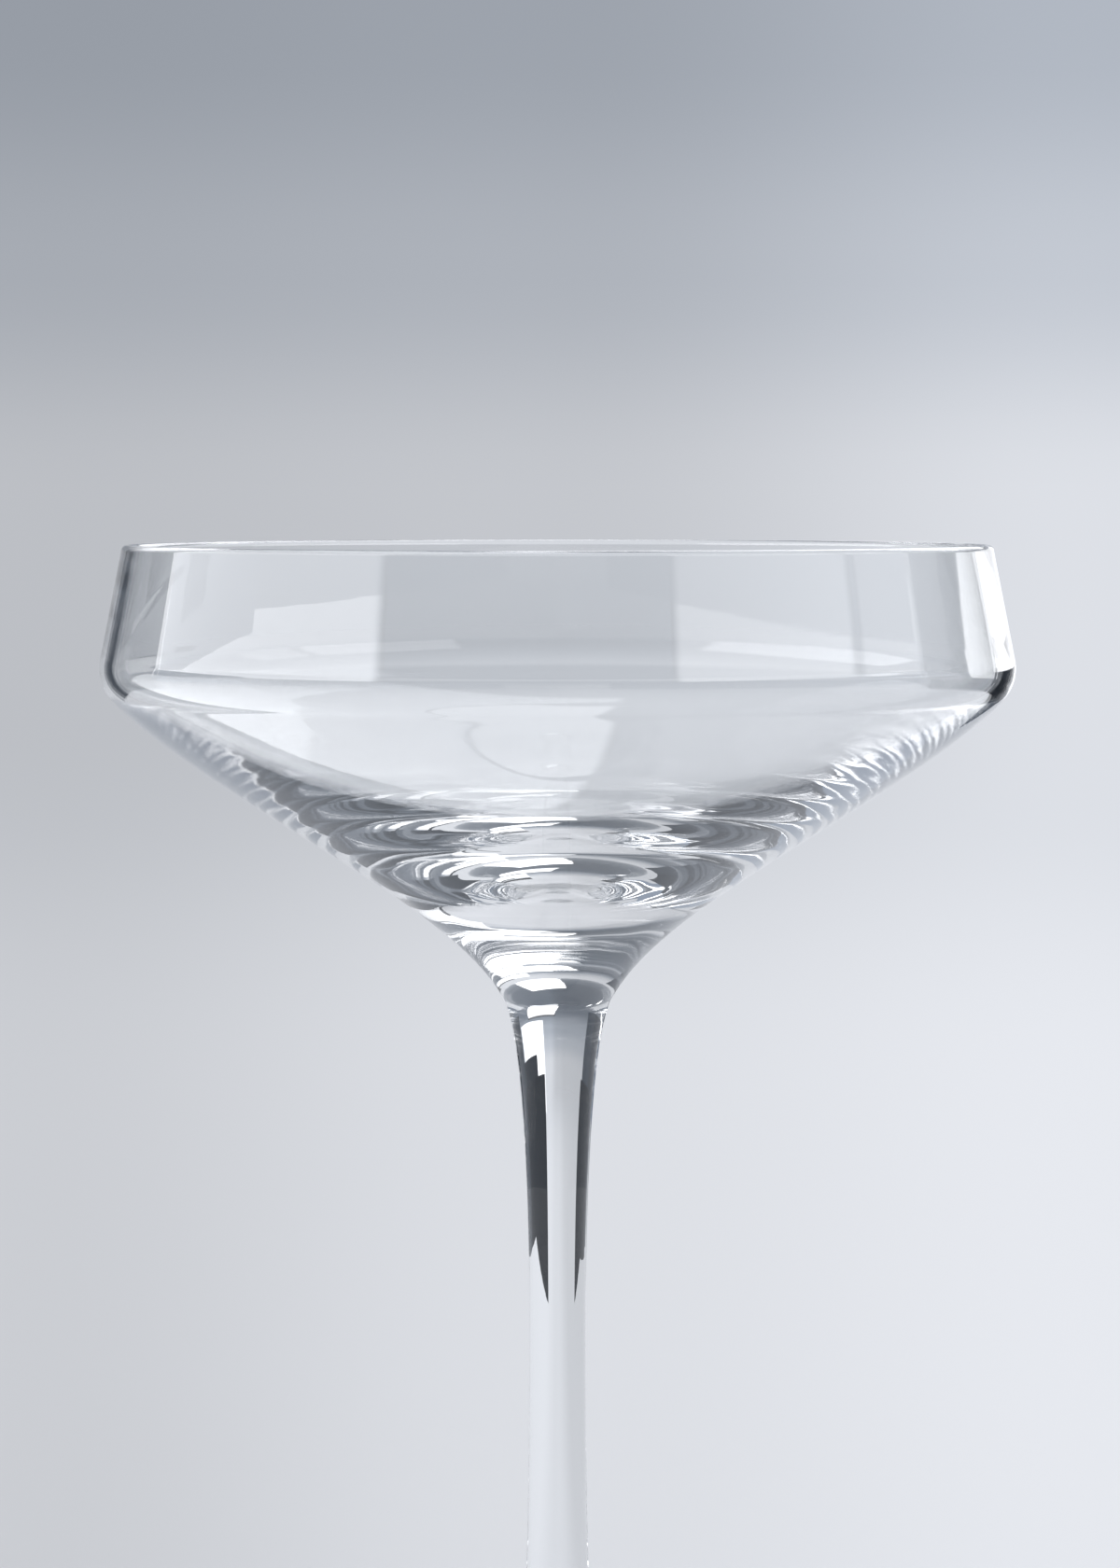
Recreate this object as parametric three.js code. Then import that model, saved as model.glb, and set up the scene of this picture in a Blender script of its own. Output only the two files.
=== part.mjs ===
import * as THREE from 'three';

// A coupe cocktail glass of clear glass: a wide shallow bowl with a turned-in upper wall,
// a slim drawn stem and a round foot. It is made hot from three gathers that are fused end to end,
// so the bowl, the stem and the foot are three pieces that meet on two flat weld faces.
// Millimetres, +Z up. The origin is on the axis of the glass, in the plane that the foot stands on.
// Leans and sweeps are in degrees. A pull is how far a curve keeps its direction at one of its ends.

// Stacked lengths along the axis: foot, stem, bowl
const FOOT_HEIGHT = 12;
const STEM_LENGTH = 95.9;
const BOWL_HEIGHT = 55.1;

// Bowl, outside
const RIM_RADIUS = 52.3;
const SHOULDER_RADIUS = 55;
const SHOULDER_DROP = 14.7;
const SHOULDER_ROUND = 5.5;
const SHOULDER_SWEEP = 44;
const UNDERSIDE_TOP_PULL = 16.5;
const UNDERSIDE_NECK_PULL = 13.2;

// Bowl, inside
const LIP_THICKNESS = 1.35;
const WALL = 1.5;
const DISH_SWEEP = 46;
const DISH_EDGE_PULL = 12;
const DISH_FLOOR_PULL = 18;
const BASE_THICKNESS = 15.5;

// Stem
const NECK_RADIUS = 6.5;
const NECK_LEAN = 63.5;
const NECK_PULL = 6.6;
const WAIST_RADIUS = 3.45;
const WAIST_RISE = 58;
const WAIST_TOP_PULL = 2.6;
const WAIST_LOW_PULL = 30;
const ANKLE_RADIUS = 6;
const ANKLE_LEAN = 104;
const ANKLE_PULL = 8.3;

// Foot
const FOOT_RADIUS = 38;
const FOOT_EDGE = 1.8;
const FOOT_EDGE_LEAN = 173;
const FOOT_EDGE_PULL = 22;
const FOOT_ANKLE_PULL = 6;
const STANDING_RING_WIDTH = 5;
const KICK_HEIGHT = 2;

// Facets around the axis, and steps along each round stretch of an outline
const FACETS = 48;
const LONG_STEPS = 9;
const SHORT_STEPS = 6;

// Heights of the two welds, the lip and the widest point
const footWeld = FOOT_HEIGHT;
const bowlWeld = footWeld + STEM_LENGTH;
const lip = bowlWeld + BOWL_HEIGHT;
const shoulder = lip - SHOULDER_DROP;

// An outline lies in the half plane of radius (x) and height (y)
const at = (radius, height) => new THREE.Vector2(radius, height);
const radians = THREE.MathUtils.degToRad;

// A point a given distance from another, along a direction in degrees above the outward horizontal
function towards(start, degrees, distance) {
  const angle = radians(degrees);
  return at(start.x + distance * Math.cos(angle), start.y + distance * Math.sin(angle));
}

function arc(centre, radius, fromAngle, toAngle, steps) {
  const clockwise = toAngle < fromAngle;
  const curve = new THREE.ArcCurve(centre.x, centre.y, radius, fromAngle, toAngle, clockwise);
  return curve.getPoints(steps);
}

function bend(start, startHandle, endHandle, end, steps) {
  return new THREE.CubicBezierCurve(start, startHandle, endHandle, end).getPoints(steps);
}

// The angle, seen from a circle's centre, where a straight wall from a point above meets it tangentially
function tangentAngle(point, centre, radius) {
  const offset = point.clone().sub(centre);
  return offset.angle() - Math.acos(radius / offset.length());
}

// Revolves an outline that starts and ends on the axis, listed with the glass on its left
function turned(name, outline, tint) {
  const apart = (point, index) => index === 0 || point.distanceTo(outline[index - 1]) > 1e-6;
  const geometry = new THREE.LatheGeometry(outline.filter(apart), FACETS);
  geometry.rotateX(Math.PI / 2);
  const material = new THREE.MeshStandardMaterial({
    color: tint,
    roughness: 0.03,
    metalness: 0,
    transparent: true,
    opacity: 0.35,
  });
  const mesh = new THREE.Mesh(geometry, material);
  mesh.name = name;
  return mesh;
}

// The weld faces: each is a flat disc that two pieces share
const neck = at(NECK_RADIUS, bowlWeld);
const ankle = at(ANKLE_RADIUS, footWeld);

// Bowl: the underside sweeps up from the neck to a rounded shoulder, the wall leans in from there
// to a half-round lip, and inside the thin wall thickens down a conical dish to a solid base
function bowlOutline() {
  const sweep = radians(-SHOULDER_SWEEP);
  const centre = at(SHOULDER_RADIUS - SHOULDER_ROUND, shoulder);
  const turn = towards(centre, -SHOULDER_SWEEP, SHOULDER_ROUND);
  const underside = bend(
    neck,
    towards(neck, NECK_LEAN, UNDERSIDE_NECK_PULL),
    towards(turn, -90 - SHOULDER_SWEEP, UNDERSIDE_TOP_PULL),
    turn,
    2 * LONG_STEPS,
  );

  const lipRound = LIP_THICKNESS / 2;
  const lipCentre = at(RIM_RADIUS - lipRound, lip - lipRound);
  const lipOutside = at(RIM_RADIUS, lipCentre.y);
  const lipInside = at(RIM_RADIUS - LIP_THICKNESS, lipCentre.y);

  const innerRound = SHOULDER_ROUND - WALL;
  const dishEdge = towards(centre, -DISH_SWEEP, innerRound);
  const dishFloor = at(0, bowlWeld + BASE_THICKNESS);
  const dish = bend(
    dishEdge,
    towards(dishEdge, -90 - DISH_SWEEP, DISH_EDGE_PULL),
    at(DISH_FLOOR_PULL, dishFloor.y),
    dishFloor,
    2 * LONG_STEPS,
  );

  return [
    at(0, bowlWeld),
    ...underside,
    ...arc(centre, SHOULDER_ROUND, sweep, tangentAngle(lipOutside, centre, SHOULDER_ROUND), SHORT_STEPS),
    ...arc(lipCentre, lipRound, 0, Math.PI, SHORT_STEPS),
    ...arc(centre, innerRound, tangentAngle(lipInside, centre, innerRound), radians(-DISH_SWEEP), SHORT_STEPS),
    ...dish,
  ];
}

// Stem: drawn from the ankle in to a long slim waist and out again to the neck under the bowl
function stemOutline() {
  const waist = at(WAIST_RADIUS, footWeld + WAIST_RISE);
  const rising = bend(
    ankle,
    towards(ankle, ANKLE_LEAN, ANKLE_PULL),
    towards(waist, -90, WAIST_LOW_PULL),
    waist,
    LONG_STEPS,
  );
  const flaring = bend(
    waist,
    towards(waist, 90, WAIST_TOP_PULL),
    towards(neck, NECK_LEAN - 180, NECK_PULL),
    neck,
    LONG_STEPS,
  );
  return [at(0, footWeld), ...rising, ...flaring, at(0, bowlWeld)];
}

// Foot: a disc with a half-round edge that rises in a trumpet to the ankle. Its underside is hollowed
// by a shallow kick, so it stands on a flat ring near its edge.
function footOutline() {
  const edgeRound = FOOT_EDGE / 2;
  const edgeCentre = at(FOOT_RADIUS - edgeRound, edgeRound);
  const edgeTop = at(edgeCentre.x, FOOT_EDGE);
  const ringInside = edgeCentre.x - STANDING_RING_WIDTH;
  const kickRadius = (ringInside ** 2 + KICK_HEIGHT ** 2) / (2 * KICK_HEIGHT);
  const kickCentre = at(0, KICK_HEIGHT - kickRadius);
  const kickEdge = Math.asin(-kickCentre.y / kickRadius);
  const trumpet = bend(
    edgeTop,
    towards(edgeTop, FOOT_EDGE_LEAN, FOOT_EDGE_PULL),
    towards(ankle, ANKLE_LEAN - 180, FOOT_ANKLE_PULL),
    ankle,
    LONG_STEPS,
  );
  return [
    at(0, KICK_HEIGHT),
    ...arc(kickCentre, kickRadius, Math.PI / 2, kickEdge, SHORT_STEPS).slice(1, -1),
    at(ringInside, 0),
    at(edgeCentre.x, 0),
    ...arc(edgeCentre, edgeRound, -Math.PI / 2, Math.PI / 2, SHORT_STEPS).slice(1, -1),
    ...trumpet,
    at(0, footWeld),
  ];
}

const glass = new THREE.Group();
glass.add(
  turned('foot', footOutline(), 0xe9eef2),
  turned('stem', stemOutline(), 0xe6ecf1),
  turned('bowl', bowlOutline(), 0xeaeff3),
);

export default glass;
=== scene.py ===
# %% [markdown]
# # A coupe cocktail glass, turned from three outlines
#
# The real glass is three gathers of clear glass that are fused end to end while they are hot: a wide bowl,
# a drawn stem and a round foot. Every one of them is a body of revolution, so the whole lesson is about
# one rule: draw half an outline, turn it about the axis, and give it a glass that bends light properly.
# The frame below holds the pieces at their real size, and every piece takes its place from it.

# %% Load the frame
import math
import bpy
import bmesh
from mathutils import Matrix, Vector


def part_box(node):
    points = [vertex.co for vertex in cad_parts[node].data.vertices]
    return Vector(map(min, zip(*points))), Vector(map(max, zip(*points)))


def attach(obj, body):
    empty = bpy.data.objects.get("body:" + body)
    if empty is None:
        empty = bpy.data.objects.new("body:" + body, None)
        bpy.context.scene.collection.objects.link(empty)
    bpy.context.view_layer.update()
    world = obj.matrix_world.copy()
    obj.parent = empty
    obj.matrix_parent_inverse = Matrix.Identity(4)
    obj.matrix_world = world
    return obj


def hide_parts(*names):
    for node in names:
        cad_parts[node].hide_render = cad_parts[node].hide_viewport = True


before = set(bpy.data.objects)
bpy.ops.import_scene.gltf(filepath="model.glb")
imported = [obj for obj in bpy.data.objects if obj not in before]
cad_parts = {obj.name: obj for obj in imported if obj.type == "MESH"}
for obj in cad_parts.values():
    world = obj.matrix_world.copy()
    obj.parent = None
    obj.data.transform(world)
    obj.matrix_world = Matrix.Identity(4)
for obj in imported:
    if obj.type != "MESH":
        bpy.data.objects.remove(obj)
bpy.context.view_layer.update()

scene = bpy.context.scene
scene.view_settings.view_transform = "Standard"

# %% Read the heights and radii that the frame fixes
stem_low, stem_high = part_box("stem")
bowl_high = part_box("bowl")[1]
foot_low, foot_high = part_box("foot")

standing_height = foot_low.z
ankle_height = stem_low.z
neck_height = stem_high.z
lip_height = bowl_high.z
shoulder_radius = bowl_high.x
foot_radius = foot_high.x
print("welds at", round(ankle_height, 4), "and", round(neck_height, 4), "m")
print("lip at", round(lip_height, 4), "m")

# %% [markdown]
# ## The camera
#
# The photograph was taken from a little above the rim, with a long lens and close enough that the foot
# falls out of the picture. Clear glass shows what lies behind it, so the camera comes first: its height
# decides how much of the floor is seen through the bowl.

# %% Set the camera
CAMERA_PLACE = (0.0003, -0.525, 0.1698)
CAMERA_DIP = 3.888
LENS_MM = 100.0
SENSOR_MM = 36.0
NEAREST_SEEN = 0.01

camera_data = bpy.data.cameras.new("camera")
camera_data.lens = LENS_MM
camera_data.sensor_width = SENSOR_MM
camera_data.clip_start = NEAREST_SEEN
camera = bpy.data.objects.new("camera", camera_data)
camera.location = CAMERA_PLACE
camera.rotation_euler = (math.radians(90.0 - CAMERA_DIP), 0.0, 0.0)
scene.collection.objects.link(camera)
scene.camera = camera
print("camera", round(-camera.location.y, 3), "m in front of the axis")

# %% [markdown]
# ## Outlines
#
# An outline lies in the half plane of radius and height. Blown and pressed glass has no sharp corners,
# so an outline is made of arcs and of bends, which are cubic curves that leave one point in a direction
# and reach the next one in another. A pull is how far a bend keeps to its direction.

# %% Helpers that draw an outline
def at(radius, height):
    return Vector((radius, height))


def towards(start, degrees, distance):
    """A point some way from another, in a direction measured up from the outward horizontal."""
    angle = math.radians(degrees)
    return start + distance * Vector((math.cos(angle), math.sin(angle)))


def arc(centre, radius, first, last, steps):
    sweep = last - first
    return [towards(centre, first + sweep * i / steps, radius) for i in range(steps + 1)]


def bend(start, leaving, arriving, end, steps):
    def point(t):
        u = 1.0 - t
        return u**3 * start + 3 * u**2 * t * leaving + 3 * u * t**2 * arriving + t**3 * end

    return [point(i / steps) for i in range(steps + 1)]


def tangent_angle(point, centre, radius):
    """Where, in degrees round a circle, a straight wall from a point above meets it without a kink."""
    offset = point - centre
    return math.degrees(math.atan2(offset.y, offset.x) - math.acos(radius / offset.length))

# %% [markdown]
# ## The bowl's outline
#
# From the weld under it the bowl sweeps out almost straight to a tight round shoulder. Above that the
# wall leans in a little to a fire-polished lip. Inside, the wall is thin down to the shoulder and
# thickens from there along a conical dish to a solid base. That wedge bends the view down to the floor,
# which makes the dish bright, and the solid base mirrors the room, which makes the grey swirls under it.
# The outline is listed with the glass on its left, so the faces come out pointing outwards.

# %% Draw the bowl
NECK_RADIUS = 0.0065
NECK_LEAN = 63.5
RIM_RADIUS = 0.0523
SHOULDER_DROP = 0.0147
SHOULDER_ROUND = 0.0055
SHOULDER_SWEEP = 44.0
UNDERSIDE_NECK_PULL = 0.0132
UNDERSIDE_TOP_PULL = 0.0165
LIP_THICKNESS = 0.00135
WALL = 0.0015
DISH_SWEEP = 46.0
DISH_EDGE_PULL = 0.012
DISH_FLOOR_PULL = 0.018
BASE_THICKNESS = 0.0155
LONG_STEPS = 110
SHORT_STEPS = 24

neck = at(NECK_RADIUS, neck_height)


def bowl_outline():
    centre = at(shoulder_radius - SHOULDER_ROUND, lip_height - SHOULDER_DROP)
    turn = towards(centre, -SHOULDER_SWEEP, SHOULDER_ROUND)
    below_turn = towards(turn, -90 - SHOULDER_SWEEP, UNDERSIDE_TOP_PULL)
    underside = bend(neck, towards(neck, NECK_LEAN, UNDERSIDE_NECK_PULL), below_turn, turn, LONG_STEPS)

    lip_round = LIP_THICKNESS / 2
    lip_centre = at(RIM_RADIUS - lip_round, lip_height - lip_round)
    outer_tangent = tangent_angle(at(RIM_RADIUS, lip_centre.y), centre, SHOULDER_ROUND)
    inner_round = SHOULDER_ROUND - WALL
    inner_tangent = tangent_angle(at(RIM_RADIUS - LIP_THICKNESS, lip_centre.y), centre, inner_round)

    dish_edge = towards(centre, -DISH_SWEEP, inner_round)
    dish_floor = at(0.0, neck_height + BASE_THICKNESS)
    below_edge = towards(dish_edge, -90 - DISH_SWEEP, DISH_EDGE_PULL)
    dish = bend(dish_edge, below_edge, at(DISH_FLOOR_PULL, dish_floor.y), dish_floor, LONG_STEPS)
    return [
        at(0.0, neck_height),
        *underside,
        *arc(centre, SHOULDER_ROUND, -SHOULDER_SWEEP, outer_tangent, SHORT_STEPS)[1:],
        *arc(lip_centre, lip_round, 0.0, 180.0, SHORT_STEPS),
        *arc(centre, inner_round, inner_tangent, -DISH_SWEEP, SHORT_STEPS),
        *dish[1:],
    ]


print("bowl outline:", len(bowl_outline()), "points")

# %% [markdown]
# ## The stem's outline
#
# The stem is drawn from the hot glass: it leaves the foot fairly stout, thins to a waist three fifths of
# the way up and flares again just under the bowl. Two bends meet at the waist, both upright there.

# %% Draw the stem
ANKLE_RADIUS = 0.006
ANKLE_LEAN = 104.0
ANKLE_PULL = 0.0083
WAIST_RADIUS = 0.00345
WAIST_RISE = 0.058
WAIST_LOW_PULL = 0.030
WAIST_TOP_PULL = 0.0026
NECK_PULL = 0.0066

ankle = at(ANKLE_RADIUS, ankle_height)


def stem_outline():
    waist = at(WAIST_RADIUS, ankle_height + WAIST_RISE)
    above_ankle = towards(ankle, ANKLE_LEAN, ANKLE_PULL)
    rising = bend(ankle, above_ankle, towards(waist, -90, WAIST_LOW_PULL), waist, LONG_STEPS)
    below_neck = towards(neck, NECK_LEAN - 180, NECK_PULL)
    flaring = bend(waist, towards(waist, 90, WAIST_TOP_PULL), below_neck, neck, LONG_STEPS)
    return [at(0.0, ankle_height), *rising, *flaring[1:], at(0.0, neck_height)]


print("stem outline:", len(stem_outline()), "points")

# %% [markdown]
# ## The foot's outline
#
# The foot is a disc with a round edge that rises in a trumpet to the ankle. Its underside is hollowed by a
# shallow kick, so the glass stands on a flat ring near the edge and doesn't rock.

# %% Draw the foot
FOOT_EDGE = 0.0018
FOOT_EDGE_LEAN = 173.0
FOOT_EDGE_PULL = 0.022
FOOT_ANKLE_PULL = 0.006
STANDING_RING_WIDTH = 0.005
KICK_HEIGHT = 0.002


def foot_outline():
    edge_round = FOOT_EDGE / 2
    edge_centre = at(foot_radius - edge_round, standing_height + edge_round)
    edge_top = at(edge_centre.x, standing_height + FOOT_EDGE)
    ring_inside = at(edge_centre.x - STANDING_RING_WIDTH, standing_height)
    kick_radius = (ring_inside.x**2 + KICK_HEIGHT**2) / (2 * KICK_HEIGHT)
    kick_centre = at(0.0, standing_height + KICK_HEIGHT - kick_radius)
    kick_edge = math.degrees(math.acos(ring_inside.x / kick_radius))
    kick = arc(kick_centre, kick_radius, 90.0, kick_edge, SHORT_STEPS)
    below_ankle = towards(ankle, ANKLE_LEAN - 180, FOOT_ANKLE_PULL)
    inward = towards(edge_top, FOOT_EDGE_LEAN, FOOT_EDGE_PULL)
    trumpet = bend(edge_top, inward, below_ankle, ankle, LONG_STEPS)
    return [
        at(0.0, standing_height + KICK_HEIGHT),
        *kick[1:],
        *arc(edge_centre, edge_round, -90.0, 90.0, SHORT_STEPS),
        *trumpet[1:],
        at(0.0, ankle_height),
    ]


print("foot outline:", len(foot_outline()), "points")

# %% [markdown]
# ## The welds
#
# Where two gathers are fused the skin of the glass draws in by a hair, and light catches that ring. Every
# outline gets the same shallow dip at its welds, so two pieces still meet edge to edge.

# %% Draw the outlines in at the welds
WELD_DIP = 0.00003
WELD_DIP_REACH = 0.0007


def dipped(outline, weld_heights):
    def depth(height):
        return sum(WELD_DIP * math.exp(-(((height - weld) / WELD_DIP_REACH) ** 2)) for weld in weld_heights)

    return [at(max(p.x - depth(p.y), 0.0), p.y) for p in outline]


print("weld ring drawn in by", 1000 * WELD_DIP, "mm")

# %% [markdown]
# ## Turning an outline with Geometry Nodes
#
# A lathe rule suits Geometry Nodes well. A grid has one column for each facet and one row for each point of
# the outline; every grid point looks up its row on the outline and moves to that radius and height at its
# own angle. Merging by distance closes the seam and the poles. Hand-made glass is never quite true, so the
# same tree pushes the surface in and out by a tenth of a millimetre or so, fading to nothing at the
# welds, the lip and the standing ring.

# %% Small helpers for node trees
def add(tree, kind, **settings):
    made = tree.nodes.new(kind)
    for name, value in settings.items():
        setattr(made, name, value)
    return made


def math_node(tree, operation, first, second=None):
    made = add(tree, "ShaderNodeMath", operation=operation)
    for socket, value in zip(made.inputs, (first, second)):
        if isinstance(value, (int, float)):
            socket.default_value = value
        elif value is not None:
            tree.links.new(value, socket)
    return made.outputs[0]

# %% Build the lathe tree
LATHE_INPUTS = {
    "Facets": "NodeSocketInt",
    "Ripple": "NodeSocketFloat",
    "Ripple Size": "NodeSocketFloat",
    "Seed": "NodeSocketFloat",
    "Glass": "NodeSocketMaterial",
    "Weld": "NodeSocketMaterial",
}
lathe = bpy.data.node_groups.new("glass lathe", "GeometryNodeTree")
lathe.interface.new_socket("Outline", in_out="INPUT", socket_type="NodeSocketGeometry")
lathe_keys = {}
for label, kind in LATHE_INPUTS.items():
    lathe_keys[label] = lathe.interface.new_socket(label, in_out="INPUT", socket_type=kind).identifier
lathe.interface.new_socket("Piece", in_out="OUTPUT", socket_type="NodeSocketGeometry")
given = add(lathe, "NodeGroupInput").outputs
print("lathe inputs:", ", ".join(lathe_keys))

# %% The grid, and each point's row and column
link = lathe.links.new
count = add(lathe, "GeometryNodeAttributeDomainSize", component="MESH")
link(given["Outline"], count.inputs["Geometry"])
rows = count.outputs["Point Count"]

grid = add(lathe, "GeometryNodeMeshGrid")
link(math_node(lathe, "ADD", given["Facets"], 1), grid.inputs["Vertices X"])
link(rows, grid.inputs["Vertices Y"])

index = add(lathe, "GeometryNodeInputIndex").outputs["Index"]
column = math_node(lathe, "FLOOR", math_node(lathe, "DIVIDE", index, rows))
row = math_node(lathe, "SUBTRACT", index, math_node(lathe, "MULTIPLY", column, rows))
angle = math_node(lathe, "DIVIDE", math_node(lathe, "MULTIPLY", column, math.tau), given["Facets"])
print("grid: rows and columns found with", len(lathe.nodes), "nodes")

# %% Look up the outline and turn it
SEAM_GAP = 1e-7

place = add(lathe, "GeometryNodeInputPosition").outputs["Position"]
looked_up = add(lathe, "GeometryNodeSampleIndex", data_type="FLOAT_VECTOR", domain="POINT")
link(given["Outline"], looked_up.inputs["Geometry"])
link(place, looked_up.inputs["Value"])
link(row, looked_up.inputs["Index"])
outline_place = add(lathe, "ShaderNodeSeparateXYZ")
link(looked_up.outputs["Value"], outline_place.inputs[0])
radius, height = outline_place.outputs["X"], outline_place.outputs["Z"]

turned_place = add(lathe, "ShaderNodeCombineXYZ")
link(math_node(lathe, "MULTIPLY", radius, math_node(lathe, "COSINE", angle)), turned_place.inputs["X"])
link(math_node(lathe, "MULTIPLY", radius, math_node(lathe, "SINE", angle)), turned_place.inputs["Y"])
link(height, turned_place.inputs["Z"])
turned = add(lathe, "GeometryNodeSetPosition")
link(turned_place.outputs[0], turned.inputs["Position"])

closed = add(lathe, "GeometryNodeMergeByDistance")
closed.inputs["Distance"].default_value = SEAM_GAP
link(turned.outputs["Geometry"], closed.inputs["Geometry"])
print("lathe: seam closed within", SEAM_GAP, "m")

# %% Keep what the outline says of each point
def carried(name, source):
    """Copies a value of the outline's points to the same rows of the grid."""
    value = add(lathe, "GeometryNodeInputNamedAttribute", data_type="FLOAT")
    value.inputs["Name"].default_value = name
    looked = add(lathe, "GeometryNodeSampleIndex", data_type="FLOAT", domain="POINT")
    link(given["Outline"], looked.inputs["Geometry"])
    link(value.outputs["Attribute"], looked.inputs["Value"])
    link(row, looked.inputs["Index"])
    kept = add(lathe, "GeometryNodeStoreNamedAttribute", data_type="FLOAT", domain="POINT")
    kept.inputs["Name"].default_value = name
    link(source, kept.inputs["Geometry"])
    link(looked.outputs["Value"], kept.inputs["Value"])
    return value.outputs["Attribute"], kept.outputs["Geometry"]


fused, marked = carried("fused", grid.outputs["Mesh"])
give, marked = carried("give", marked)
link(marked, turned.inputs["Geometry"])
print("carried from the outline: fused, give")

# %% Cords: waves that run down the outline and change quickly around it
CORD_RADIUS = 0.02
CORD_STRETCH = 0.35
CORD_DETAIL = 1.0

split = add(lathe, "ShaderNodeSeparateXYZ")
link(place, split.inputs[0])
around = add(lathe, "ShaderNodeCombineXYZ")
link(split.outputs["X"], around.inputs["X"])
link(split.outputs["Y"], around.inputs["Y"])
unit = add(lathe, "ShaderNodeVectorMath", operation="NORMALIZE")
link(around.outputs[0], unit.inputs[0])
ring = add(lathe, "ShaderNodeVectorMath", operation="SCALE")
link(unit.outputs[0], ring.inputs[0])
ring.inputs["Scale"].default_value = CORD_RADIUS
climb = add(lathe, "ShaderNodeCombineXYZ")
link(math_node(lathe, "MULTIPLY", split.outputs["Z"], CORD_STRETCH), climb.inputs["Z"])
along = add(lathe, "ShaderNodeVectorMath", operation="ADD")
link(ring.outputs[0], along.inputs[0])
link(climb.outputs[0], along.inputs[1])

waves = add(lathe, "ShaderNodeTexNoise", noise_dimensions="4D")
waves.inputs["Detail"].default_value = CORD_DETAIL
link(along.outputs[0], waves.inputs["Vector"])
link(given["Seed"], waves.inputs["W"])
link(math_node(lathe, "DIVIDE", 1.0, given["Ripple Size"]), waves.inputs["Scale"])

swing = math_node(lathe, "MULTIPLY", math_node(lathe, "SUBTRACT", waves.outputs[0], 0.5), given["Ripple"])
push = add(lathe, "ShaderNodeVectorMath", operation="SCALE")
link(add(lathe, "GeometryNodeInputNormal").outputs["Normal"], push.inputs[0])
link(math_node(lathe, "MULTIPLY", swing, give), push.inputs["Scale"])
rippled = add(lathe, "GeometryNodeSetPosition")
link(closed.outputs["Geometry"], rippled.inputs["Geometry"])
link(push.outputs[0], rippled.inputs["Offset"])
print("cords drawn out", round(1 / CORD_STRETCH, 1), "times along the axis")

# %% Shade it, and give the weld discs their own material
CREASE_ANGLE = 0.6
WHOLLY_FUSED = 0.99

on_weld = math_node(lathe, "GREATER_THAN", fused, WHOLLY_FUSED)
smooth = add(lathe, "GeometryNodeSetShadeSmooth")
link(rippled.outputs["Geometry"], smooth.inputs["Geometry"])
edge_angle = add(lathe, "GeometryNodeInputMeshEdgeAngle").outputs["Unsigned Angle"]
creased = add(lathe, "GeometryNodeSetShadeSmooth", domain="EDGE")
link(smooth.outputs["Geometry"], creased.inputs["Geometry"])
link(math_node(lathe, "LESS_THAN", edge_angle, CREASE_ANGLE), creased.inputs["Shade Smooth"])
realized = add(lathe, "GeometryNodeRealizeInstances")
link(creased.outputs["Geometry"], realized.inputs["Geometry"])
all_glass = add(lathe, "GeometryNodeSetMaterial")
link(realized.outputs["Geometry"], all_glass.inputs["Geometry"])
link(given["Glass"], all_glass.inputs["Material"])
weld_discs = add(lathe, "GeometryNodeSetMaterial")
link(all_glass.outputs["Geometry"], weld_discs.inputs["Geometry"])
link(on_weld, weld_discs.inputs["Selection"])
link(given["Weld"], weld_discs.inputs["Material"])
link(weld_discs.outputs["Geometry"], add(lathe, "NodeGroupOutput").inputs["Piece"])
print("lathe tree:", len(lathe.nodes), "nodes")

# %% [markdown]
# ## Clear glass
#
# Drinking glass is soda-lime or crystal glass with an index near 1.52. A real one is almost colourless,
# a trace cool in the thick base. Its polish isn't perfect either: the mould and the turning leave fine
# rings round the axis, the melt keeps faint cords of another tint, and handling leaves patches where the
# shine is a little softer. All three are too weak to see one by one, but without them the glass looks
# computed.

# %% Start the glass: index, clearness and where a point lies
GLASS_INDEX = 1.52

glass = bpy.data.materials.new("clear_glass")
glass.use_nodes = True
finish = glass.node_tree
shader = finish.nodes["Principled BSDF"]
shader.inputs["Transmission Weight"].default_value = 1.0
shader.inputs["IOR"].default_value = GLASS_INDEX
point = add(finish, "ShaderNodeTexCoord").outputs["Object"]
point_parts = add(finish, "ShaderNodeSeparateXYZ")
finish.links.new(point, point_parts.inputs[0])
print("glass index", GLASS_INDEX)

# %% Cords in the melt and softer patches from handling
CLEAR_TINT = (0.985, 0.991, 0.995, 1.0)
CORD_TINT = (0.972, 0.983, 0.990, 1.0)
CORD_SIZE = 0.018
CORD_CLOUD_DETAIL = 3.0
PATCH_SIZE = 0.030
PATCH_DETAIL = 2.0
PATCH_EDGES = (0.45, 0.75)
POLISH = 0.010
SOFTEST = 0.045


def cloud(tree, vector, size, detail):
    made = add(tree, "ShaderNodeTexNoise")
    made.inputs["Scale"].default_value = 1.0 / size
    made.inputs["Detail"].default_value = detail
    tree.links.new(vector, made.inputs["Vector"])
    return made.outputs[0]


tint = add(finish, "ShaderNodeMix", data_type="RGBA")
tint.inputs[6].default_value = CLEAR_TINT
tint.inputs[7].default_value = CORD_TINT
finish.links.new(cloud(finish, point, CORD_SIZE, CORD_CLOUD_DETAIL), tint.inputs[0])
finish.links.new(tint.outputs[2], shader.inputs["Base Color"])

patches = add(finish, "ShaderNodeMapRange", interpolation_type="SMOOTHSTEP")
patches.inputs["From Min"].default_value = PATCH_EDGES[0]
patches.inputs["From Max"].default_value = PATCH_EDGES[1]
patches.inputs["To Min"].default_value = POLISH
patches.inputs["To Max"].default_value = SOFTEST
finish.links.new(cloud(finish, point, PATCH_SIZE, PATCH_DETAIL), patches.inputs["Value"])
finish.links.new(patches.outputs["Result"], shader.inputs["Roughness"])
print("polish from", POLISH, "to", SOFTEST)

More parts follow.
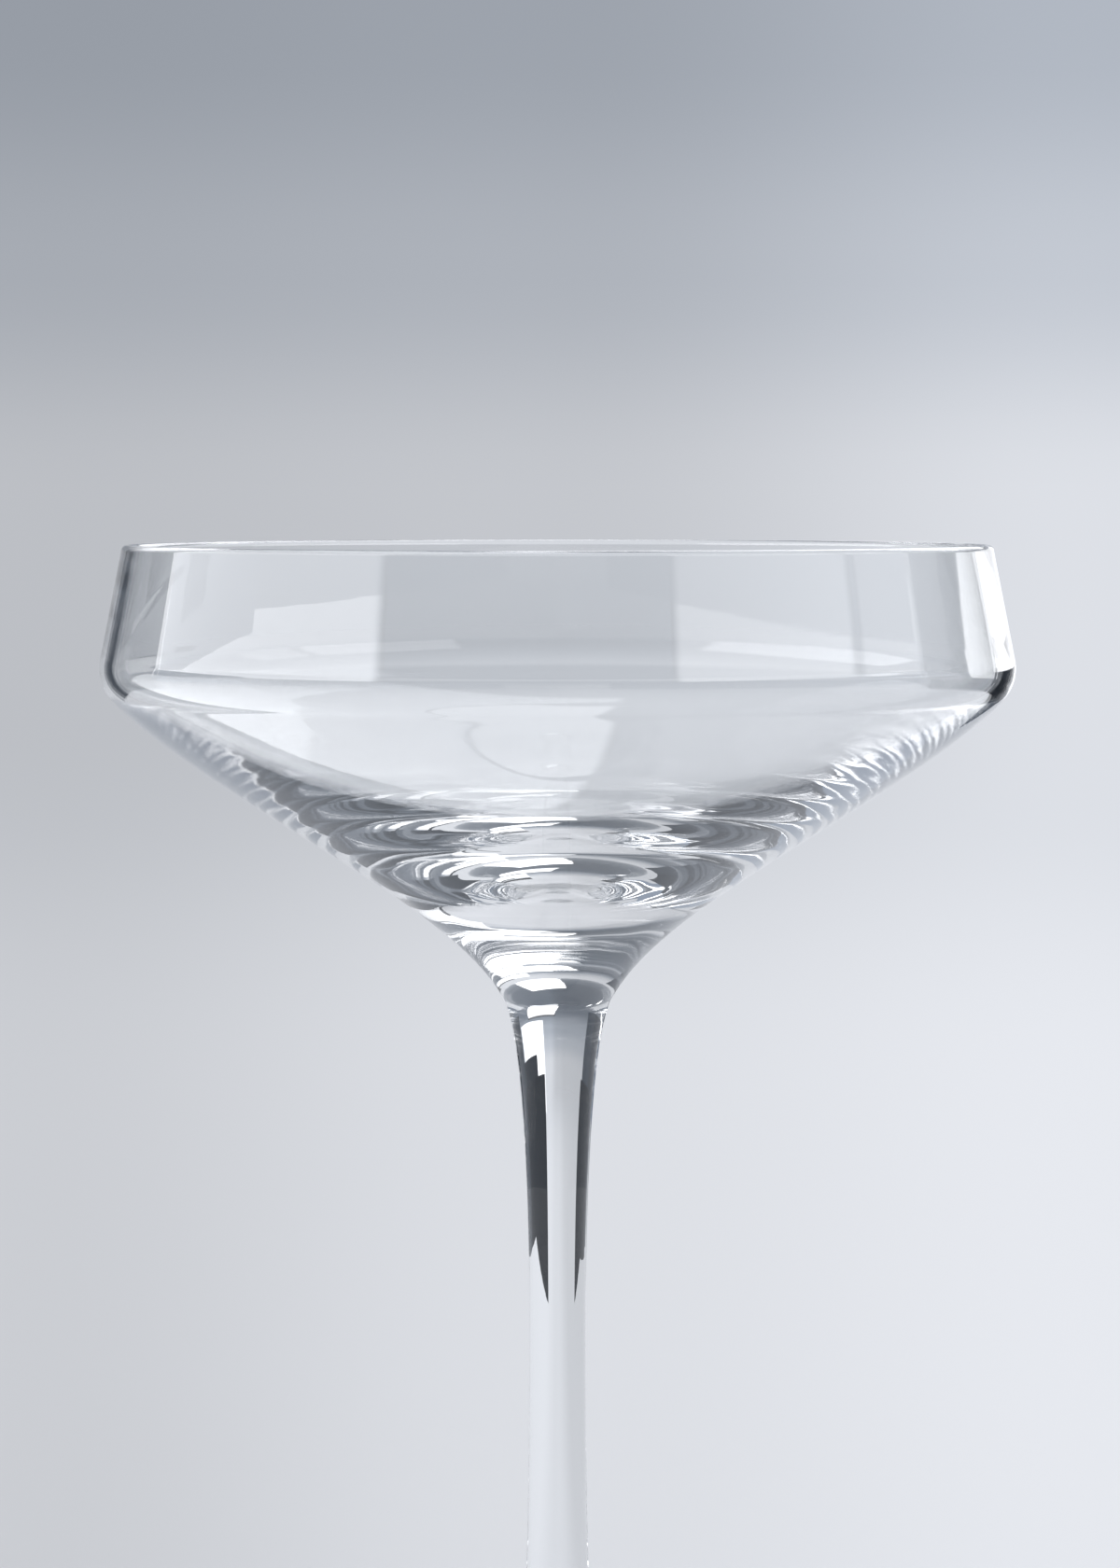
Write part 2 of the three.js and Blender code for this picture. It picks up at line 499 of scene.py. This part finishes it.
# %% Fine rings from the turning
RING_SIZE = 0.0016
RING_DETAIL = 2.0
RING_HEIGHT = 0.0000012

across = add(finish, "ShaderNodeVectorMath", operation="LENGTH")
flat = add(finish, "ShaderNodeCombineXYZ")
finish.links.new(point_parts.outputs["X"], flat.inputs["X"])
finish.links.new(point_parts.outputs["Y"], flat.inputs["Y"])
finish.links.new(flat.outputs[0], across.inputs[0])
section = add(finish, "ShaderNodeCombineXYZ")
finish.links.new(across.outputs["Value"], section.inputs["X"])
finish.links.new(point_parts.outputs["Z"], section.inputs["Z"])
rings = add(finish, "ShaderNodeBump")
rings.inputs["Distance"].default_value = RING_HEIGHT
finish.links.new(cloud(finish, section.outputs[0], RING_SIZE, RING_DETAIL), rings.inputs["Height"])
finish.links.new(rings.outputs["Normal"], shader.inputs["Normal"])
print("glass finish:", len(finish.nodes), "nodes")

# %% Weld discs let light straight through
def see_through(name):
    """A surface that light passes without bending."""
    paint = bpy.data.materials.new(name)
    paint.use_nodes = True
    tree = paint.node_tree
    tree.nodes.remove(tree.nodes["Principled BSDF"])
    clear = add(tree, "ShaderNodeBsdfTransparent")
    tree.links.new(clear.outputs[0], tree.nodes["Material Output"].inputs["Surface"])
    return paint


weld = see_through("fused_weld")
print("weld discs:", weld.name)

# %% [markdown]
# ## Turning the three pieces
#
# Each outline becomes a chain of points, the tree turns it and gives it its glass, and the result is kept
# as a plain mesh at the origin. A piece then rides on the frame's one body and takes the place of its
# solid.

# %% A function that turns a piece
FACETS = 256
WELD_TOLERANCE = 1e-7


def turn_piece(name, outline, weld_heights, give, ripple):
    outline = dipped(outline, weld_heights)
    top = max(range(len(outline)), key=lambda i: outline[i].y)
    chain = bpy.data.meshes.new(name + "_outline")
    edges = [(i, i + 1) for i in range(len(outline) - 1)]
    chain.from_pydata([(p.x, 0.0, p.y) for p in outline], edges, [])
    fused_points = chain.attributes.new("fused", "FLOAT", "POINT")
    give_points = chain.attributes.new("give", "FLOAT", "POINT")
    for i, p in enumerate(outline):
        fused_points.data[i].value = float(any(abs(p.y - h) < WELD_TOLERANCE for h in weld_heights))
        give_points.data[i].value = give(p, i > top)
    holder = bpy.data.objects.new(name + "_outline", chain)
    scene.collection.objects.link(holder)

    modifier = holder.modifiers.new("lathe", "NODES")
    modifier.node_group = lathe
    settings = {"Facets": FACETS, "Glass": glass, "Weld": weld, **ripple}
    for label, value in settings.items():
        modifier[lathe_keys[label]] = value

    evaluated = holder.evaluated_get(bpy.context.evaluated_depsgraph_get())
    mesh = bpy.data.meshes.new_from_object(evaluated)
    mesh.name = name
    bpy.data.objects.remove(holder)
    bpy.data.meshes.remove(chain)
    piece = bpy.data.objects.new(name, mesh)
    scene.collection.objects.link(piece)
    return piece

# %% A function that measures a piece
ML_IN_CUBIC_METRE = 1e6


def report(piece):
    probe = bmesh.new()
    probe.from_mesh(piece.data)
    open_edges = sum(len(edge.link_faces) != 2 for edge in probe.edges)
    volume = probe.calc_volume(signed=True) * ML_IN_CUBIC_METRE
    probe.free()
    made = f"{len(piece.data.polygons)} faces, {open_edges} open edges"
    print(f"{piece.name}: {made}, {volume:.2f} ml of glass")

# %% Where each piece may stray from true
BASE_RISE = (0.002, 0.010)
BASE_REACH = (0.020, 0.034)
DISH_FLOOR_SHARE = 0.25
DISH_FLOOR_START = (0.001, 0.006)
DISH_FLOOR_REACH = (0.012, 0.022)
DRAWN_ENDS = 0.020
FOOT_FADE = 0.004


def eased(value, start, end):
    t = min(max((value - start) / (end - start), 0.0), 1.0)
    return t * t * (3.0 - 2.0 * t)


def bowl_give(p, inside):
    """The underside of the solid base strays most, the floor of the dish a little, the wall not at all."""
    if inside:
        return DISH_FLOOR_SHARE * eased(p.x, *DISH_FLOOR_START) * (1.0 - eased(p.x, *DISH_FLOOR_REACH))
    rise = p.y - neck_height
    return eased(rise, *BASE_RISE) * (1.0 - eased(rise, *BASE_REACH))


def stem_give(p, inside):
    return eased(p.y - ankle_height, 0.0, DRAWN_ENDS) * eased(neck_height - p.y, 0.0, DRAWN_ENDS)


def foot_give(p, inside):
    return eased(p.y - standing_height, 0.0, FOOT_FADE) * eased(ankle_height - p.y, 0.0, FOOT_FADE)


bowl_ripple = {"Ripple": 0.0005, "Ripple Size": 0.016, "Seed": 3.0}
stem_ripple = {"Ripple": 0.00003, "Ripple Size": 0.012, "Seed": 7.0}
foot_ripple = {"Ripple": 0.00005, "Ripple Size": 0.014, "Seed": 11.0}
print("cords on the bowl: at most", 1000 * bowl_ripple["Ripple"] / 2, "mm either way")

# %% Turn, ride and replace
bowl = turn_piece("clear_bowl", bowl_outline(), [neck_height], bowl_give, bowl_ripple)
stem = turn_piece("clear_stem", stem_outline(), [ankle_height, neck_height], stem_give, stem_ripple)
foot = turn_piece("clear_foot", foot_outline(), [ankle_height], foot_give, foot_ripple)

for piece, node in ((bowl, "bowl"), (stem, "stem"), (foot, "foot")):
    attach(piece, "root")
    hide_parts(node)
    report(piece)

# %% [markdown]
# ## The stage
#
# Clear glass has no colour of its own, so the stage draws it. A pale floor and a pale room fill it, dark
# cards on the diagonals draw its edges, and big soft boxes lie on it as highlights. Boxes and cards stand
# outside the picture, so they are hidden from the camera and only the glass sees them. A bearing is an
# angle on the floor plan: 0 is straight behind the glass, 90 is to its right.

# %% Tones of the room, from the floor up and from the left to the right
HORIZON_TONE = 0.57
UPWARD_TONES = {-1.0: HORIZON_TONE, 0.0: HORIZON_TONE, 0.05: 0.45, 0.10: 0.37, 0.28: 0.17, 1.0: 0.13}
SIDE_TONES = {-1.0: 0.95, -0.4: 0.90, -0.12: 0.93, 0.0: 1.02, 0.12: 1.33, 0.3: 1.35, 1.0: 1.20}
ROOM_TINT = (0.955, 0.985, 1.05, 1.0)
LAMP_TINT = (0.975, 0.985, 1.015, 1.0)
CARD_TINT = (0.80, 0.97, 1.25, 1.0)
SHADE_TINT = (0.84, 0.98, 1.16)


def tone_curve(tree, value, tones, shade_tint=(1.0, 1.0, 1.0)):
    """Tones at given values between -1 and 1, eased from one to the next, tinted the more the darker."""
    ramp = add(tree, "ShaderNodeValToRGB")
    ramp.color_ramp.interpolation = "EASE"
    stops = ramp.color_ramp.elements
    while len(stops) < len(tones):
        stops.new(0.5)
    brightest = max(tones.values())
    for stop, (place, tone) in zip(stops, tones.items()):
        stop.position = (place + 1.0) / 2.0
        shade = 1.0 - tone / brightest
        stop.color = (*(tone * (1.0 + shade * (part - 1.0)) for part in shade_tint), 1.0)
    shifted = math_node(tree, "MULTIPLY", math_node(tree, "ADD", value, 1.0), 0.5)
    tree.links.new(shifted, ramp.inputs["Fac"])
    return ramp.outputs["Color"]


print("room tones from", min(UPWARD_TONES.values()), "to", HORIZON_TONE)

# %% [markdown]
# The room has two levels. What the eye and the glass see of it is a grey that darkens upwards, and what
# lights the floor is one even level. A ray that has met the floor once keeps to the second, also under
# the foot, where it leaves through glass.

# %% World: one tone for what is seen, another for the light on the floor
FILL_LEVEL = 0.92

world = bpy.data.worlds.new("soft_room")
scene.world = world
world.use_nodes = True
sky = world.node_tree
sky.nodes.clear()
direction = add(sky, "ShaderNodeSeparateXYZ")
sky.links.new(add(sky, "ShaderNodeTexCoord").outputs["Generated"], direction.inputs[0])
upward = tone_curve(sky, direction.outputs["Z"], UPWARD_TONES, SHADE_TINT)
tinted = add(sky, "ShaderNodeVectorMath", operation="MULTIPLY")
tinted.inputs[1].default_value = ROOM_TINT[:3]
sky.links.new(upward, tinted.inputs[0])
picture = add(sky, "ShaderNodeBackground")
sky.links.new(tinted.outputs[0], picture.inputs["Color"])
sky.links.new(tone_curve(sky, direction.outputs["X"], SIDE_TONES), picture.inputs["Strength"])
fill = add(sky, "ShaderNodeBackground")
fill.inputs["Color"].default_value = LAMP_TINT
fill.inputs["Strength"].default_value = FILL_LEVEL
paths = add(sky, "ShaderNodeLightPath").outputs
seen = math_node(sky, "MAXIMUM", paths["Is Camera Ray"], paths["Is Glossy Ray"])
seen = math_node(sky, "MAXIMUM", seen, paths["Is Transmission Ray"])
seen = math_node(sky, "MULTIPLY", seen, math_node(sky, "LESS_THAN", paths["Diffuse Depth"], 0.5))
either = add(sky, "ShaderNodeMixShader")
sky.links.new(seen, either.inputs[0])
sky.links.new(fill.outputs[0], either.inputs[1])
sky.links.new(picture.outputs[0], either.inputs[2])
sky.links.new(either.outputs[0], add(sky, "ShaderNodeOutputWorld").inputs["Surface"])
print("room:", len(sky.nodes), "nodes, fill level", FILL_LEVEL)

# %% [markdown]
# The floor's colour is painted: palest in a pool of light behind the glass, because that is the floor that
# the dish shows, and darker on the left as painted shade. Far away it stops taking light and glows in the
# tone of the room at the horizon, so no line cuts across the picture. It lies a tenth of a millimetre under
# the standing ring, because two faces in one plane would hide each other.

# %% Floor, its colour painted with a pool of light and with shade on the left
# Painted light: the floor's colour is paler in a pool round this place and darker beyond it.
PAINTED_POOL_PLACE = (0.05, 0.40, 0.0)
PAINTED_POOL_NEAR = 0.30
PAINTED_POOL_FAR = 1.5
FLOOR_PAINTED_LIT = (0.89, 0.905, 0.93, 1.0)
FLOOR_FAR = (0.80, 0.82, 0.85, 1.0)
# Painted shade: the floor's colour is darker towards the left and palest to the right.
FLOOR_PAINTED_SIDE_SHADE = {-1.0: 0.80, -0.4: 0.72, -0.12: 0.75, 0.0: 0.90, 0.12: 1.0, 0.5: 1.0, 1.0: 0.95}
FLOOR_WIDTH = 12.0
FLOOR_ROUGHNESS = 0.8
FLOOR_GAP = 0.0001
VIEW_FOOT = 0.55
SHORTEST_VIEW = 0.30


def stage_plane(name, width, depth, place, turn=(0.0, 0.0, 0.0)):
    mesh = bpy.data.meshes.new(name)
    x, y = width / 2, depth / 2
    mesh.from_pydata([(-x, -y, 0), (x, -y, 0), (x, y, 0), (-x, y, 0)], [], [(0, 1, 2, 3)])
    plane = bpy.data.objects.new(name, mesh)
    plane.location = place
    plane.rotation_euler = turn
    scene.collection.objects.link(plane)
    return plane


def eased_distance(tree, spot, centre, near, far):
    """Zero within one distance of a point, one beyond another."""
    reach = add(tree, "ShaderNodeVectorMath", operation="DISTANCE")
    reach.inputs[1].default_value = centre
    tree.links.new(spot, reach.inputs[0])
    ease = add(tree, "ShaderNodeMapRange", interpolation_type="SMOOTHSTEP")
    ease.inputs["From Min"].default_value = near
    ease.inputs["From Max"].default_value = far
    tree.links.new(reach.outputs["Value"], ease.inputs["Value"])
    return ease.outputs["Result"]


floor = stage_plane("floor", FLOOR_WIDTH, FLOOR_WIDTH, (0.0, 0.0, standing_height - FLOOR_GAP))
floor_paint = bpy.data.materials.new("pale_floor")
floor_paint.use_nodes = True
floor_tree = floor_paint.node_tree
spot = add(floor_tree, "ShaderNodeTexCoord").outputs["Object"]
floor_tone = add(floor_tree, "ShaderNodeMix", data_type="RGBA")
floor_tone.inputs[6].default_value = FLOOR_PAINTED_LIT
floor_tone.inputs[7].default_value = FLOOR_FAR
# Painted pool of light: near the pool's middle the floor takes the paler colour.
painted_pool = eased_distance(floor_tree, spot, PAINTED_POOL_PLACE, PAINTED_POOL_NEAR, PAINTED_POOL_FAR)
floor_tree.links.new(painted_pool, floor_tone.inputs[0])
spot_parts = add(floor_tree, "ShaderNodeSeparateXYZ")
floor_tree.links.new(spot, spot_parts.inputs[0])
ahead = math_node(floor_tree, "ADD", spot_parts.outputs["Y"], VIEW_FOOT)
ahead = math_node(floor_tree, "MAXIMUM", ahead, SHORTEST_VIEW)
aside = math_node(floor_tree, "DIVIDE", spot_parts.outputs["X"], ahead)
# Painted shade: the floor's colour is scaled darker on the left.
shaded = add(floor_tree, "ShaderNodeVectorMath", operation="SCALE")
floor_tree.links.new(floor_tone.outputs[2], shaded.inputs[0])
floor_tree.links.new(tone_curve(floor_tree, aside, FLOOR_PAINTED_SIDE_SHADE), shaded.inputs["Scale"])
floor_shader = floor_tree.nodes["Principled BSDF"]
floor_tree.links.new(shaded.outputs["Vector"], floor_shader.inputs["Base Color"])
floor_shader.inputs["Roughness"].default_value = FLOOR_ROUGHNESS
floor_shader.inputs["Specular IOR Level"].default_value = 0.0
floor.data.materials.append(floor_paint)
print("floor", 1000 * FLOOR_GAP, "mm under the standing ring")

# %% The floor's far part, painted as a glow
FLOOR_GLOW_NEAR = 0.7
FLOOR_GLOW_FAR = 2.6

# Painted glow: far off, the floor is no longer lit but glows in the room's tone at the horizon, paler to
# the right as the room is.
floor_glow_side = tone_curve(floor_tree, aside, SIDE_TONES)
floor_glow = add(floor_tree, "ShaderNodeEmission")
floor_glow.inputs["Color"].default_value = ROOM_TINT
floor_tree.links.new(math_node(floor_tree, "MULTIPLY", floor_glow_side, HORIZON_TONE), floor_glow.inputs["Strength"])
lit_or_glowing = add(floor_tree, "ShaderNodeMixShader")
far_off = eased_distance(floor_tree, spot, (0.0, 0.0, 0.0), FLOOR_GLOW_NEAR, FLOOR_GLOW_FAR)
floor_tree.links.new(far_off, lit_or_glowing.inputs[0])
floor_tree.links.new(floor_shader.outputs[0], lit_or_glowing.inputs[1])
floor_tree.links.new(floor_glow.outputs[0], lit_or_glowing.inputs[2])
floor_tree.links.new(lit_or_glowing.outputs[0], floor_tree.nodes["Material Output"].inputs["Surface"])
print("haze from", FLOOR_GLOW_NEAR, "to", FLOOR_GLOW_FAR, "m")

# %% Upright panels that only the glass sees
def glow(name, sides, strength, soft):
    """A plain glow, or one that fades over a share of the panel towards its edges."""
    paint = bpy.data.materials.new(name)
    paint.use_nodes = True
    tree = paint.node_tree
    tree.nodes.clear()
    lamp = add(tree, "ShaderNodeEmission")
    lamp.inputs["Color"].default_value = LAMP_TINT if strength > 1.0 else CARD_TINT
    lamp.inputs["Strength"].default_value = strength
    if soft:
        panel_place = add(tree, "ShaderNodeSeparateXYZ")
        tree.links.new(add(tree, "ShaderNodeTexCoord").outputs["Object"], panel_place.inputs[0])
        level = strength
        for axis, side in zip("XY", sides):
            out = math_node(tree, "ABSOLUTE", panel_place.outputs[axis])
            out = math_node(tree, "DIVIDE", out, side / 2)
            edge = add(tree, "ShaderNodeMapRange", interpolation_type="SMOOTHSTEP")
            edge.inputs["From Min"].default_value = 1.0
            edge.inputs["From Max"].default_value = 1.0 - soft
            tree.links.new(out, edge.inputs["Value"])
            level = math_node(tree, "MULTIPLY", edge.outputs["Result"], level)
        tree.links.new(level, lamp.inputs["Strength"])
    surface = add(tree, "ShaderNodeOutputMaterial").inputs["Surface"]
    tree.links.new(lamp.outputs[0], surface)
    return paint


def only_for_glass(panel):
    panel.visible_camera = False
    panel.visible_diffuse = False
    panel.visible_shadow = False


def standing_panel(name, ends, heights, strength, soft=0.0):
    """Stands between two points of the floor plan, each a bearing and a distance from the axis."""
    start, end = (d * Vector((math.sin(math.radians(b)), math.cos(math.radians(b)))) for b, d in ends)
    run = end - start
    middle = (start + end) / 2
    low, high = heights
    turn = (math.radians(90.0), 0.0, math.atan2(run.y, run.x))
    panel = stage_plane(name, run.length, high - low, (middle.x, middle.y, (low + high) / 2), turn)
    panel.data.materials.append(glow(name + "_glow", (run.length, high - low), strength, soft))
    only_for_glass(panel)
    return panel

# %% Soft boxes
left_box = standing_panel("left_softbox", [(-60, 1.15), (-137, 1.15)], (0.12, 0.98), 3.2, 0.12)
front_box = standing_panel("right_front_softbox", [(101, 1.15), (152, 1.15)], (0.12, 0.98), 2.1, 0.12)
right_box = standing_panel("right_softbox", [(78, 1.15), (100, 1.15)], (0.12, 0.98), 1.3, 0.15)
standing_panel("back_softbox", [(12.5, 1.05), (42, 1.05)], (0.03, 0.30), 1.6)
print("boxes: left, right front, right and back")

# %% [markdown]
# A wide box hangs high behind the glass. Its light glances off the inside of the dish on the left, which
# makes the white pool there.

# %% Top box
TOP_BEARING = 15.0
TOP_RISE = 38.0
TOP_DISTANCE = 1.3
TOP_SIDES = (0.66, 1.35)
TOP_STRENGTH = 2.4
TOP_SOFTNESS = 0.10

top_angle = math.radians(TOP_BEARING)
top_reach = TOP_DISTANCE * math.cos(math.radians(TOP_RISE))
top_height = lip_height + TOP_DISTANCE * math.sin(math.radians(TOP_RISE))
top_place = (top_reach * math.sin(top_angle), top_reach * math.cos(top_angle), top_height)
top_turn = (math.radians(TOP_RISE - 90.0), 0.0, -top_angle)
top_box = stage_plane("top_softbox", *TOP_SIDES, top_place, top_turn)
top_box.data.materials.append(glow("top_glow", TOP_SIDES, TOP_STRENGTH, TOP_SOFTNESS))
only_for_glass(top_box)
print("top box at", round(top_height, 2), "m")

# %% [markdown]
# Boxes and cards are there for glass that bends light: the stem, the shoulder and the solid base. Seen
# straight through both walls of the bowl, a big one would look like a thing inside it. Blender counts the
# surfaces that a ray has passed, and a ray that has crossed both walls has passed four, so big panels are
# clear for rays that have passed so many. The cards also stand half a metre off, where a view down through
# one wall meets the floor first.

# %% Dark cards
BOTH_WALLS = 4


def show_only_if(panel, count, compare, limit):
    """Leaves a panel clear unless one of the counts that Blender keeps for each ray passes a test."""
    tree = panel.data.materials[0].node_tree
    counted = add(tree, "ShaderNodeLightPath").outputs[count]
    lamp = next(node for node in tree.nodes if node.type == "EMISSION")
    out = next(node for node in tree.nodes if node.type == "OUTPUT_MATERIAL")
    either = add(tree, "ShaderNodeMixShader")
    tree.links.new(math_node(tree, compare, counted, limit), either.inputs[0])
    tree.links.new(add(tree, "ShaderNodeBsdfTransparent").outputs[0], either.inputs[1])
    tree.links.new(lamp.outputs[0], either.inputs[2])
    tree.links.new(either.outputs[0], out.inputs["Surface"])


standing_panel("left_card", [(-29, 0.52), (-42, 0.52)], (0.0, 0.29), 0.06)
big_cards = [
    standing_panel("right_card", [(44, 0.55), (80, 0.55)], (0.0, 0.29), 0.05),
    standing_panel("left_dark_card", [(-42, 0.56), (-66, 0.56)], (0.0, 0.30), 0.04),
    standing_panel("left_side_card", [(-66, 0.60), (-100, 0.60)], (0.08, 0.22), 0.30),
    standing_panel("right_front_card", [(82, 0.60), (168, 0.60)], (0.08, 0.21), 0.22),
    standing_panel("left_front_card", [(-100, 0.60), (-168, 0.60)], (0.08, 0.20), 0.18),
]
for panel in (left_box, front_box, right_box, *big_cards):
    show_only_if(panel, "Transmission Depth", "LESS_THAN", BOTH_WALLS - 0.5)
print("big cards:", len(big_cards))

# %% [markdown]
# The stem is a lens that shows the cards beside it as two dark strips, which end in a point where the cards
# meet the floor, and the right shoulder shows a card as one dark spot. Other glass would show those cards
# too, as dark lines and squares. So a clear film stands behind the stem and another beside the shoulder.
# Blender counts clear surfaces too, and these cards show only to rays that came through a film.

# %% Clear films behind the stem and beside the shoulder
STEM_FILM_SIDES = (0.36, 0.103)
STEM_FILM_DISTANCE = 0.05
SHOULDER_FILM_SIDES = (0.028, 0.025)
SHOULDER_FILM_PLACE = (0.0765, 0.030, 0.1375)


def clear_film(name, sides, place):
    film = stage_plane(name, *sides, place, (math.radians(90.0), 0.0, 0.0))
    film.data.materials.append(see_through(name + "_paint"))
    only_for_glass(film)


clear_film("stem_film", STEM_FILM_SIDES, (0.0, STEM_FILM_DISTANCE, STEM_FILM_SIDES[1] / 2))
clear_film("shoulder_film", SHOULDER_FILM_SIDES, SHOULDER_FILM_PLACE)
print("stem film up to", STEM_FILM_SIDES[1], "m")

# %% Cards that show only through the films
ONE_FILM = 1

film_cards = [
    standing_panel("right_stem_card", [(13, 0.386), (36, 0.56)], (0.0, 0.094), 0.02),
    standing_panel("right_edge_card", [(36, 0.56), (60, 0.54)], (0.0, 0.094), 0.02),
    standing_panel("left_stem_card", [(-27, 0.386), (-40, 0.50)], (0.0, 0.094), 0.02),
    standing_panel("left_edge_card", [(-40, 0.50), (-60, 0.52)], (0.0, 0.094), 0.02),
    standing_panel("shoulder_card", [(21, 0.57), (46, 0.57)], (0.065, 0.135), 0.03),
]
for panel in film_cards:
    show_only_if(panel, "Transparent Depth", "GREATER_THAN", ONE_FILM - 0.5)
print("behind films:", len(film_cards), "cards")

# %% [markdown]
# Light in the thick base can bounce many times before it finds a way out, so the limits on bounces are far
# above the usual ones.

# %% Let light find its way through thick glass
BOUNCES_IN_GLASS = 128
BOUNCES_IN_ALL = 160

scene.cycles.max_bounces = BOUNCES_IN_ALL
scene.cycles.transmission_bounces = BOUNCES_IN_GLASS
scene.cycles.glossy_bounces = BOUNCES_IN_GLASS
print("bounces:", BOUNCES_IN_ALL)
